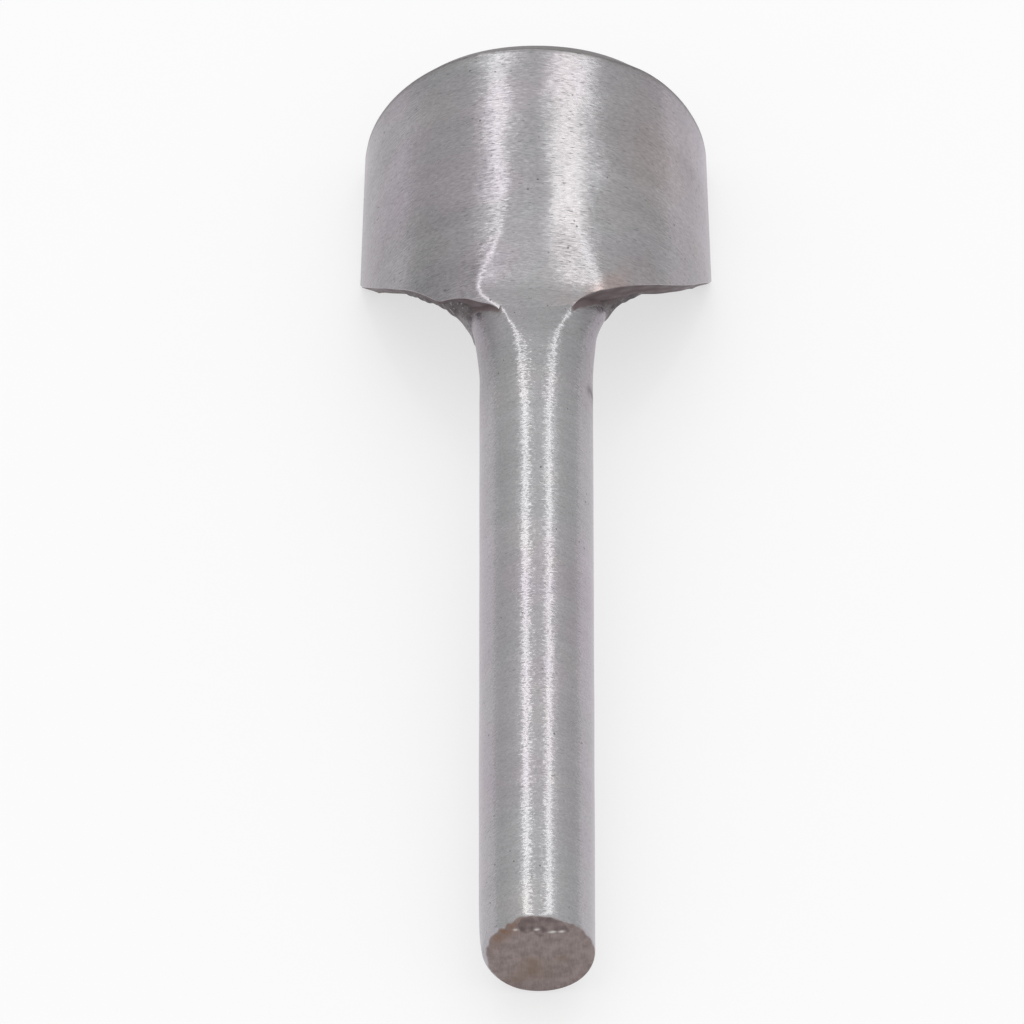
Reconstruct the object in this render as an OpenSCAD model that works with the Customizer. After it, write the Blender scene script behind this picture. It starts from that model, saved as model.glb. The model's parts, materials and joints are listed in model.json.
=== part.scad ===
// Half round punch: a half ring blade welded to the end of a round bar that is struck with a mallet.
// The tool lies on a bench with the hollow of the blade underneath. It rests on the two heel corners
// of the blade and on the lower rim of the struck end. The bar points along +Y, towards the blade.

/* [Blade] */
// Diameter of the half round cut, measured inside the blade
cut_d = 35; // [28:0.5:50]
// Wall of the blade from the heel up to the side corners
wall_heel = 2.1; // [1.7:0.05:3]
// Wall of the blade where the cutting bevel starts
wall_edge = 1.65; // [1:0.05:2]
// Height of the cutting bevel along the tool
bevel_h = 1.8; // [0.8:0.1:4]
// Flat left on the cutting edge
edge_land = 0.15; // [0.05:0.05:0.5]
// Length of the blade along its two straight sides
side_len = 20.5; // [15:0.5:35]
// Slope of the heel, from the two side corners down to the neck
heel_angle = 43.5; // [35:0.5:50]

/* [Shank] */
// Length of the whole tool along the bar
overall_len = 130; // [115:1:160]
// Diameter of the bar
shank_d = 12.5; // [10:0.25:15]
// Radius of the rounded rim of the struck end
rim_r = 0.9; // [0.3:0.1:2]
// How much the radius of the bar draws in above the straight part, where the neck was dressed
neck_draw = 0.15; // [0.05:0.05:0.4]
// Depth ground off the front of the bar to bring it flush with the blade
grind_depth = 1; // [0.4:0.05:1.5]
// Length of the ramp that brings the ground front out to the round of the bar
ramp_len = 12.5; // [8:0.5:20]

/* [Tail inside the hollow] */
// Height of the tail along the bar, from the neck to its tip
tail_len = 15; // [10:0.5:20]
// Angle between the back of the tail and the bar
tail_angle = 30; // [22:1:40]

/* [Welds] */
// Width of the left fillet along the heel
weld_left_w = 10; // [5:0.5:12]
// Height of the left fillet, square to the heel
weld_left_h = 9; // [4:0.5:10]
// Width of the right fillet along the heel
weld_right_w = 6.5; // [5:0.5:12]
// Height of the right fillet, square to the heel
weld_right_h = 8; // [4:0.5:10]
// How far the foot of a fillet runs in on the round of the bar
weld_toe = 0.5; // [0.3:0.1:1.5]
// Part of a quarter turn that the hollow face of a fillet makes
weld_turn = 70; // [45:1:85]
// Step from the front of the blade back to the front of a fillet
weld_step = 1.2; // [0.5:0.1:1.6]
// How far a fillet stands out behind the wall of the blade
weld_overhang = 1; // [0.3:0.1:2]
// Width of the bead round the tail
bead_w = 2; // [1:0.1:3]

/* [Hidden] */
$fn = 96;
// Points along the hollow curve of a fillet
fillet_steps = 16;
// Overlap of cutting shapes past the faces that they cut
over = 1;

shank_r = shank_d / 2;
cut_r = cut_d / 2;
blade_r = cut_r + wall_heel;
bevel_r = cut_r + wall_edge;
// The centre line of the blade lies this far behind the centre line of the bar
blade_back = blade_r - shank_r + grind_depth;
// Heights along the bar: side corners of the heel, neck in front, start of the bevel
heel_z = overall_len - side_len;
neck_z = heel_z - blade_r * tan(heel_angle);
bevel_z = overall_len - bevel_h;
// Ground front of the bar
ramp_low_z = neck_z - ramp_len;
ramp_angle = atan(grind_depth / ramp_len);
// The back of the tail meets the inside of the wall here
tail_tip_y = blade_back - cut_r;
tail_tip_z = neck_z + tail_len;
// A block of this size reaches past the tool on every side
far = overall_len + cut_d;
// The tool leans on its heel corners and on the rounded rim
lean_rise = blade_back - shank_r + rim_r;
lean_run = heel_z - rim_r;
rest_tilt = atan2(lean_rise, lean_run) - asin(rim_r / norm([lean_rise, lean_run]));
rest_h = blade_back * cos(rest_tilt) - heel_z * sin(rest_tilt);
front_end = blade_back * sin(rest_tilt) + overall_len * cos(rest_tilt);
back_end = (rim_r - shank_r) * sin(rest_tilt) + rim_r * cos(rest_tilt) - rim_r;
mid_y = (front_end + back_end) / 2;

steel = "#a5a2a4";
bar_steel = "#9d9b9d";
weld_brown = "#6d625c";

// The tool is drawn upright on its struck end, with the round side facing -Y, and is then laid down.
module lay_down() {
    translate([0, -mid_y, rest_h])
        rotate([rest_tilt - 90, 0, 0])
            children();
}

// Frame on the heel: X across, Z down the slope towards the front, -Y out of the heel
module on_heel() {
    translate([0, blade_back, heel_z])
        rotate([90 + heel_angle, 0, 0])
            children();
}

// All the space on the outer side of the heel
module below_heel() {
    on_heel() translate([-far, -2 * far, -far]) cube(2 * far);
}

// All the space on the blade's side of the heel
module above_heel() {
    on_heel() translate([-far, 0, -far]) cube(2 * far);
}

// Upright cylinder on the centre line of the blade
module blade_core(radius) {
    translate([0, blade_back, -over]) cylinder(r = radius, h = far);
}

// Block in front of the middle of the bar, between two heights
module front_block(low_z, high_z) {
    translate([-shank_r - over, -shank_r - over, low_z])
        cube([shank_d + 2 * over, shank_r + over, high_z - low_z]);
}

// All the space behind the tail, moved out by the bead that lies round it
module behind_tail(grow) {
    translate([0, tail_tip_y, tail_tip_z + grow / sin(tail_angle)])
        rotate([tail_angle, 0, 0])
            translate([-far, 0, -far])
                cube(2 * far);
}

// Metal taken off the front of the bar: a ramp that is flush with the blade at the neck
module ground_front() {
    difference() {
        front_block(ramp_low_z - over, heel_z);
        translate([0, blade_back, neck_z])
            rotate([-ramp_angle, 0, 0])
                translate([0, 0, -far])
                    cylinder(r = blade_r * cos(ramp_angle), h = 2 * far);
    }
}

// Bar with a rounded rim at the struck end, straight up to the ramp and drawn in above it
module bar() {
    rotate_extrude() {
        square([shank_r - rim_r, ramp_low_z]);
        translate([0, rim_r]) square([shank_r, ramp_low_z - rim_r]);
        translate([shank_r - rim_r, rim_r]) circle(rim_r);
        polygon([
            [0, ramp_low_z],
            [shank_r, ramp_low_z],
            [shank_r - neck_draw, overall_len],
            [0, overall_len]
        ]);
    }
}

module blade() {
    color(steel) lay_down() difference() {
        translate([0, blade_back, 0])
            rotate([0, 0, 180])
                rotate_extrude(angle = 180)
                    polygon([
                        [cut_r, neck_z - over],
                        [blade_r, neck_z - over],
                        [blade_r, heel_z],
                        [bevel_r, bevel_z],
                        [cut_r + edge_land, overall_len],
                        [cut_r, overall_len]
                    ]);
        below_heel();
    }
}

module shank() {
    color(bar_steel) lay_down() difference() {
        bar();
        behind_tail(0);
        ground_front();
        difference() {
            above_heel();
            blade_core(cut_r);
        }
    }
}

// Fillet in the corner of the heel and the bar, on the +X side
module heel_fillet(width, height) {
    toe_x = shank_r - weld_toe;
    sweep = (width + weld_toe) / (1 - cos(weld_turn));
    curve = [
        for (i = [0 : fillet_steps])
            let (turn = weld_turn * (1 - i / fillet_steps))
            [toe_x + sweep * (1 - cos(turn)), height * (sin(turn) / sin(weld_turn) - 1)]
    ];
    difference() {
        intersection() {
            on_heel() linear_extrude(far) polygon(concat([[0, 0]], curve, [[0, -height]]));
            difference() {
                blade_core(blade_r - weld_step);
                blade_core(cut_r - weld_overhang);
            }
        }
        bar();
    }
}

module weld_left() {
    color(weld_brown) lay_down() mirror([1, 0, 0]) heel_fillet(weld_left_w, weld_left_h);
}

module weld_right() {
    color(weld_brown) lay_down() heel_fillet(weld_right_w, weld_right_h);
}

// Bead on the inside of the wall, up both sides of the tail and across its tip
module weld_tail() {
    color(weld_brown) lay_down() difference() {
        cylinder(r = shank_r + bead_w, h = overall_len);
        below_heel();
        behind_tail(bead_w);
        difference() {
            bar();
            behind_tail(0);
        }
        blade_core(cut_r - bead_w);
        difference() {
            translate([-far, -far, 0]) cube(2 * far);
            blade_core(cut_r);
        }
    }
}

blade();
shank();
weld_left();
weld_right();
weld_tail();
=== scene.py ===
import json
import math

import bpy
import numpy as np
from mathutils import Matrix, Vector


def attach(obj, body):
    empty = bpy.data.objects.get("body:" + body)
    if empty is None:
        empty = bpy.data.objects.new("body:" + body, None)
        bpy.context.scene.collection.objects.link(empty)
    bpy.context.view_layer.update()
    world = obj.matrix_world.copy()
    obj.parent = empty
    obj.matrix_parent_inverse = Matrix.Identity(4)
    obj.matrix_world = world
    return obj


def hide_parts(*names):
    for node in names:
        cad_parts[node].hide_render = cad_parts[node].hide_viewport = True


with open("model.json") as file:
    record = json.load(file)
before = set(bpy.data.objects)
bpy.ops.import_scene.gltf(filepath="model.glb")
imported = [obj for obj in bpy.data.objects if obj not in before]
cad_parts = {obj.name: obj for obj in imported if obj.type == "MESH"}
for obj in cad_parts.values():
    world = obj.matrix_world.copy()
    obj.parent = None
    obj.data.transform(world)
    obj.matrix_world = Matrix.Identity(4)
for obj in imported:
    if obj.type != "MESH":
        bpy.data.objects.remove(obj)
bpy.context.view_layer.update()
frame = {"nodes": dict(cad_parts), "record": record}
print("frame loaded:", ", ".join(sorted(frame["nodes"])))

# the tool's own directions, in mm: x across, d towards its round front,
# z along the bar from the struck end
mounts = {m["name"]: m for m in frame["record"]["mounts"]}
struckPoint = np.array(mounts["struck_face"]["pos_m"])
alongTool = -np.array(mounts["struck_face"]["axis"])
frontWay = np.cross([1.0, 0.0, 0.0], alongTool)

tool = {
    "shankR": mounts["shank"]["dims"]["r_mm"],
    "bladeR": 19.6,
    "cutR": 17.5,
    "bladeBack": 14.35,  # from the bar's centre line back to the blade's
    "heelZ": 109.5,
    "heelAngle": math.radians(43.5),
    "tailTipZ": 105.9,
    "tailAngle": math.radians(30),
}


def toRow(points):
    p = np.asarray(points, float).reshape(-1, 3) * 0.001
    return struckPoint + p[:, :1] * [1, 0, 0] + p[:, 1:2] * frontWay + p[:, 2:] * alongTool


def smoothStep(low, high, value):
    s = np.clip((value - low) / (high - low), 0, 1)
    return s * s * (3 - 2 * s)


def smoothMin(a, b, k):
    h = np.clip(0.5 + 0.5 * (b - a) / k, 0, 1)
    return b * (1 - h) + a * h - k * h * (1 - h)


def hill(value, centre, width):
    # 1 at the centre, fading out on both sides
    return np.exp(-((value - centre) / width) ** 2)


def waves(u, v, size, seed, count=11):
    # a few crossing waves with fixed phases, for the unevenness of hand work
    rng = np.random.default_rng(seed)
    total = np.zeros_like(u * v)
    for _ in range(count):
        turn, phase = rng.uniform(0, 2 * math.pi, 2)
        pitch = size * rng.uniform(0.7, 1.5)
        total = total + np.sin((u * np.cos(turn) + v * np.sin(turn)) * 2 * math.pi / pitch + phase)
    return total / math.sqrt(count)


def easedTable(places, values, soft):
    # a measured line with its corners taken out
    fine = np.arange(places[0] - 6 * soft, places[-1] + 6 * soft, soft / 4)
    line = np.interp(fine, places, values)
    reach = np.arange(-12, 13)
    weight = np.exp(-((reach / 4.0) ** 2) / 2)
    line = np.convolve(np.pad(line, 12, mode="edge"), weight / weight.sum(), mode="valid")
    return lambda at: np.interp(at, fine, line)


# front of the neck: the belt took the same facet off the bar and off the blade
facet = {
    "heights": [
        74.0, 77.0, 80.3, 82.3, 83.9, 85.9, 88.3, 90.5,
        92.0, 93.2, 95.9, 98.2, 100.1, 104.2, 108.0, 131.0,
    ],
    "levels": [
        6.30, 6.18, 6.10, 6.02, 5.93, 5.64, 5.085, 4.66,
        4.32, 4.27, 4.53, 4.71, 4.85, 5.19, 5.20, 5.20,
    ],
    "roundLeft": 90.0,
    "roundRight": 65.0,
    "middles": [0.8, 0.75, 0.45, -0.05, -0.1, 2.6, 2.7],
    "middleHeights": [78.0, 82.0, 85.0, 90.0, 100.0, 104.2, 131.0],
    "blendLeft": 0.10,
    "blendRight": 0.25,
    "blendNeck": 0.32,
    "neckEnds": (85.0, 91.0),  # between these heights the neck's blend gives way to the blade's
    # the belt leaned over to the right and left a broad flat there: its depth and where it starts
    "leanHeights": [86.0, 91.0, 94.0, 98.0, 101.0, 104.0, 108.0, 119.0, 131.0],
    "leanDepths": [0.0, 0.18, 0.18, 0.26, 0.29, 0.25, 0.21, 0.22, 0.28],
    "leanStarts": [1.7, 1.7, 1.6, 0.1, -0.5, -0.6, -0.7, -0.7, -0.7],
    # and a fainter one on the left
    "leftHeights": [94.0, 98.0, 102.0, 106.0, 116.0, 122.0, 127.0, 131.0],
    "leftDepths": [0.0, 0.05, 0.18, 0.21, 0.19, 0.14, 0.05, 0.0],
    "leftEnds": (-7.5, -1.0),
    "leanWide": 5.0,
    "leanEnds": (8.0, 18.0),  # where both run out on the right
    "soft": 0.8,
}
facetHeight = easedTable(facet["heights"], facet["levels"], facet["soft"])
facetMiddle = easedTable(facet["middleHeights"], facet["middles"], facet["soft"])
leanDepth = easedTable(facet["leanHeights"], facet["leanDepths"], facet["soft"])
leanStart = easedTable(facet["leanHeights"], facet["leanStarts"], facet["soft"])
leftDepth = easedTable(facet["leftHeights"], facet["leftDepths"], facet["soft"])


def grindFront(x, d, z):
    f = facet
    off = x - facetMiddle(z)
    bend = np.where(off < 0, f["roundLeft"], f["roundRight"])
    blend = f["blendLeft"] + (f["blendRight"] - f["blendLeft"]) * smoothStep(-1.0, 1.0, off)
    blend = blend + (f["blendNeck"] - blend) * (1 - smoothStep(*f["neckEnds"], z))
    ground = smoothMin(d, facetHeight(z) - off ** 2 / (2 * bend), blend)
    return ground - leanRight(x, z) - leanLeft(x, z)


def leanRight(x, z):
    start = leanStart(z)
    rise = smoothStep(start, start + facet["leanWide"], x)
    return leanDepth(z) * (rise - smoothStep(*facet["leanEnds"], x))


def leanLeft(x, z):
    return leftDepth(z) * (smoothStep(*facet["leftEnds"], x) - smoothStep(*facet["leanEnds"], x))


# heel: a slope that sweeps down to the neck on both sides, cut a little higher on the right
heelSet = {
    "across": [
        -19.6, -16.6, -14.3, -13.5, -11.9, -10.9, -10.4, -9.8, -8.8, -7.7, -6.3,
        -5.3, -4.7, -4.15, -3.7, -2.0, 0.0, 2.0, 3.45, 3.7, 3.95, 4.35,
        4.8, 5.5, 6.4, 8.0, 9.7, 11.2, 13.65, 16.6, 19.6,
    ],
    "shift": [
        0.0, 0.15, 0.0, -0.22, -0.9, -1.45, -1.4, -1.15, -0.95, -0.95, -1.4,
        -1.6, -1.85, -2.45, -2.7, -2.75, -2.75, -2.7, -2.65, -2.5, -2.1, -1.3,
        -0.75, -0.25, 0.2, 0.55, 0.95, 1.15, 1.0, 0.6, 0.7,
    ],
    # how fast the heel face climbs behind its outer edge
    "leanAcross": [
        -19.6, -18.0, -16.6, -14.0, -11.0, -9.0, -7.6, -6.0, -4.0,
        0.0, 4.0, 8.0, 11.0, 13.7, 15.2, 16.5, 17.7, 19.6,
    ],
    "lean": [
        0.84, 0.83, 0.75, 0.71, 0.70, 0.62, 0.42, 0.15, 0.1,
        0.1, 0.1, 0.12, 0.26, 0.40, 0.60, 0.74, 0.86, 0.86,
    ],
    "soft": 0.22,
    "leanSoft": 0.5,
}
heelShift = easedTable(heelSet["across"], heelSet["shift"], heelSet["soft"])
heelLean = easedTable(heelSet["leanAcross"], heelSet["lean"], heelSet["leanSoft"])


def heelLine(x):
    # height of the outer heel edge
    reach = np.sqrt(np.clip(tool["bladeR"] ** 2 - x ** 2, 0, None))
    return tool["heelZ"] - math.tan(tool["heelAngle"]) * reach + heelShift(x)


def wallFront(x):
    return np.sqrt(np.clip(tool["bladeR"] ** 2 - x ** 2, 0, None)) - tool["bladeBack"]


def heelFace(x, d):
    return heelLine(x) + heelLean(x) * np.clip(wallFront(x) - d, 0, None)


# mesh helpers
def layGrain(mesh, u, v, period=None, flat=None):
    # map for the belt marks: U along the tool, V round it, both in mm
    # flat gives the points that are mapped straight on
    corner = np.empty(len(mesh.loops), np.int32)
    mesh.loops.foreach_get("vertex_index", corner)
    cu, cv = u[corner], v[corner]
    count = np.empty(len(mesh.polygons), np.int32)
    mesh.polygons.foreach_get("loop_total", count)
    face = np.repeat(np.arange(len(count)), count)
    if period:
        top = np.full(len(count), -1e9)
        np.maximum.at(top, face, cv)
        cv = np.where(top[face] - cv > period / 2, cv + period, cv)
    if flat:
        whole = np.ones(len(count), bool)
        np.logical_and.at(whole, face, flat[0][corner])
        cu = np.where(whole[face], flat[1][corner], cu)
        cv = np.where(whole[face], flat[2][corner], cv)
    layer = mesh.uv_layers.new(name="grain")
    layer.data.foreach_set("uv", np.stack([cu, cv], 1).astype(np.float32).ravel())


def layMark(mesh, name, values):
    layer = mesh.attributes.new(name, "FLOAT", "POINT")
    layer.data.foreach_set("value", np.asarray(values, np.float32).ravel())


def meshFrom(name, points, faces, material):
    mesh = bpy.data.meshes.new(name)
    mesh.from_pydata(toRow(points).tolist(), [], faces)
    mesh.validate()
    mesh.materials.append(material)
    mesh.shade_smooth()
    return mesh


def putPiece(name, mesh, node):
    piece = bpy.data.objects.new(name, mesh)
    bpy.context.scene.collection.objects.link(piece)
    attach(piece, "root")
    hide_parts(node)
    print("made", name, len(mesh.polygons), "faces")
    return piece


# camera: a long lens in front of the struck end, looking down over the tool
cameraSet = {
    "lens": 602.0,
    "distance": 1.871,
    "elevation": 44.4,
    "aimZ": 65.0,
    "right": -2.67,  # mm that the camera stands off the aim, across and up
    "up": -1.30,
}


def makeCamera():
    c = cameraSet
    tilt = math.radians(c["elevation"])
    back = Vector((0, -math.cos(tilt), math.sin(tilt)))
    upWay = Vector((0, math.sin(tilt), math.cos(tilt)))
    data = bpy.data.cameras.new("camera")
    data.lens = c["lens"]
    data.sensor_width = 36
    data.clip_start, data.clip_end = 0.05, 60
    camera = bpy.data.objects.new("camera", data)
    aim = Vector(toRow([0, 0, c["aimZ"]])[0])
    aim += Vector((1, 0, 0)) * c["right"] * 0.001 + upWay * c["up"] * 0.001
    camera.location = aim + back * c["distance"]
    camera.rotation_mode = "QUATERNION"
    camera.rotation_quaternion = (-back).to_track_quat("-Z", "Y")
    bpy.context.scene.collection.objects.link(camera)
    bpy.context.scene.camera = camera
    print("camera set")


makeCamera()


# light: an even white room, a white table and two long soft lamps behind the blade
lightSet = {
    "horizon": 0.62,
    "haze": 0.12,  # lighter just above the table's edge
    "high": 0.90,
    "zenith": 1.0,
    "lampAcross": 0.155,
    "lampLong": 1.6,
    "lampAway": 1.6,
    "lampRadiance": 2.5,
    "lampLeft": (-0.245, 0.609, 0.732),
    "lampRight": (0.295, 0.609, 0.732),
    "lampAimZ": 75.0,
    "floorWhite": (0.96, 0.96, 0.962, 1),
    "floorSize": 12.0,
    "floorSeen": 0.62,
    "floorMirrored": 0.7,
    "floorInSteel": (1.0, 0.955, 1.0, 1),
}


def addNode(tree, kind, inputs=None, **settings):
    node = tree.nodes.new(kind)
    for key, value in settings.items():
        setattr(node, key, value)
    for key, value in (inputs or {}).items():
        if isinstance(value, bpy.types.NodeSocket):
            tree.links.new(value, node.inputs[key])
        else:
            node.inputs[key].default_value = value
    return node


def calc(tree, operation, first, second=0.0):
    return addNode(tree, "ShaderNodeMath", {0: first, 1: second}, operation=operation).outputs[0]


def times(tree, first, second):
    return calc(tree, "MULTIPLY", first, second)


def plus(tree, first, second):
    return calc(tree, "ADD", first, second)


def minus(tree, first, second):
    return calc(tree, "SUBTRACT", first, second)


def ramp(tree, source, low, high, outLow=0.0, outHigh=1.0):
    node = addNode(tree, "ShaderNodeMapRange", {
        "Value": source, "From Min": low, "From Max": high, "To Min": outLow, "To Max": outHigh,
    })
    return node.outputs["Result"]


def mixColour(tree, factor, first, second):
    node = addNode(tree, "ShaderNodeMix", {0: factor, 6: first, 7: second}, data_type="RGBA")
    return node.outputs[2]


def makeLight():
    s = lightSet
    world = bpy.data.worlds.new("room")
    bpy.context.scene.world = world
    world.use_nodes = True
    tree = world.node_tree
    way = addNode(tree, "ShaderNodeTexCoord").outputs["Generated"]
    height = addNode(tree, "ShaderNodeSeparateXYZ", {"Vector": way}).outputs["Z"]
    low = ramp(tree, height, 0.0, 0.8, s["horizon"], s["high"])
    glow = plus(tree, low, ramp(tree, height, 0.8, 1.0, 0.0, s["zenith"] - s["high"]))
    glow = plus(tree, glow, ramp(tree, height, 0.0, 0.28, s["haze"], 0.0))
    tree.links.new(glow, tree.nodes["Background"].inputs["Strength"])
    tree.nodes["Background"].inputs["Color"].default_value = (1, 1, 1, 1)

    centre = Vector(toRow([0, 0, s["lampAimZ"]])[0])
    for name in ("lampLeft", "lampRight"):
        lamp = bpy.data.lights.new(name, "AREA")
        lamp.shape = "RECTANGLE"
        lamp.size, lamp.size_y = s["lampAcross"], s["lampLong"]
        lamp.energy = math.pi * lamp.size * lamp.size_y * s["lampRadiance"]
        holder = bpy.data.objects.new(lamp.name, lamp)
        way = Vector(s[name]).normalized()
        holder.location = centre + way * s["lampAway"]
        holder.rotation_mode = "QUATERNION"
        holder.rotation_quaternion = (-way).to_track_quat("-Z", "Y")
        holder.visible_camera = False
        bpy.context.scene.collection.objects.link(holder)

    size = s["floorSize"]
    corners = [(-size, -size, 0), (size, -size, 0), (size, size, 0), (-size, size, 0)]
    mesh = bpy.data.meshes.new("table")
    mesh.from_pydata(corners, [], [(0, 1, 2, 3)])
    white = bpy.data.materials.new("tableWhite")
    white.use_nodes = True
    shader = white.node_tree.nodes["Principled BSDF"]
    shader.inputs["Base Color"].default_value = s["floorWhite"]
    shader.inputs["Roughness"].default_value = 0.9
    shader.inputs["Specular IOR Level"].default_value = 0.1
    # part of the white is the table's own glow, for the camera and in the steel,
    # so the shadow stays faint
    tree = white.node_tree
    path = addNode(tree, "ShaderNodeLightPath")
    tone = mixColour(tree, path.outputs["Is Camera Ray"], s["floorInSteel"], (1, 1, 1, 1))
    glow = addNode(tree, "ShaderNodeEmission", {"Color": tone, "Strength": 1.0})
    seen = times(tree, path.outputs["Is Camera Ray"], s["floorSeen"])
    shine = calc(tree, "MAXIMUM", path.outputs["Is Glossy Ray"], path.outputs["Is Transmission Ray"])
    seen = plus(tree, seen, times(tree, shine, s["floorMirrored"]))
    both = addNode(tree, "ShaderNodeMixShader", {0: seen, 1: shader.outputs[0], 2: glow.outputs[0]})
    tree.links.new(both.outputs[0], tree.nodes["Material Output"].inputs["Surface"])
    mesh.materials.append(white)
    table = bpy.data.objects.new("table", mesh)
    bpy.context.scene.collection.objects.link(table)
    bpy.context.scene.view_settings.view_transform = "Standard"
    print("light and table set")


makeLight()


# finishes
def grainNoise(tree, source, along, around, detail, shift):
    # noise drawn out round the tool; along and around are marks for each mm
    place = addNode(tree, "ShaderNodeMapping", {
        "Vector": source, "Scale": (along, around, 1), "Location": (shift, shift, shift),
    })
    noise = addNode(tree, "ShaderNodeTexNoise", {
        "Vector": place.outputs[0], "Scale": 1.0, "Detail": detail, "Roughness": 0.6,
    })
    return noise.outputs["Fac"]


def spotNoise(tree, source, scale, detail, shift):
    place = addNode(tree, "ShaderNodeMapping", {"Vector": source, "Location": (shift, shift, shift)})
    noise = addNode(tree, "ShaderNodeTexNoise", {
        "Vector": place.outputs[0], "Scale": scale, "Detail": detail, "Roughness": 0.55,
    })
    return noise.outputs["Fac"]


def markOf(tree, name):
    return addNode(tree, "ShaderNodeAttribute", attribute_name=name).outputs["Fac"]


def away(tree, noise, amount):
    # noise about zero, times an amount
    return times(tree, minus(tree, noise, 0.5), amount)


steelLook = {
    "grey": (0.402, 0.397, 0.406, 1),
    "lavender": (0.408, 0.384, 0.408, 1),
    "tan": (0.410, 0.392, 0.378, 1),
    "inside": (0.215, 0.200, 0.195, 1),
    # dark brown for soot, also used as painted shade under the heel
    "sootAndShade": (0.122, 0.090, 0.092, 1),
    "tinge": (0.432, 0.366, 0.356, 1),
    "faceBrown": (0.298, 0.241, 0.230, 1),
    "faceDark": (0.208, 0.163, 0.154, 1),
    "faceTan": (0.205, 0.145, 0.104, 1),
    "rust": (0.205, 0.118, 0.078, 1),
    # painted shade in the chip
    "chip": (0.122, 0.092, 0.091, 1),
    "lipGlint": (0.72, 0.69, 0.67, 1),
    "dimBy": 0.16,
    "calmBy": 0.06,
    "midMarks": 0.22,
    "bandMarks": 0.20,
    "cloudMarks": 0.16,
    "pitDark": 0.55,
    "dents": 0.00006,
    "tiltMid": 0.016,
    "rough": 0.25,
    "drawn": 0.78,
}
# belt marks: how many for each mm along and around, how strong, and how far each one leans
bladeMarks = {
    "along": 5.0, "around": 1.5, "midAround": 0.40,
    "fine": 0.66, "scratch": 0.36, "tilt": 0.108, "bright": 0.95,
}
shankMarks = {
    "along": 4.6, "around": 2.9, "midAround": 0.55,
    "fine": 0.46, "scratch": 0.22, "tilt": 0.148, "bright": 1.03,
}


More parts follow.
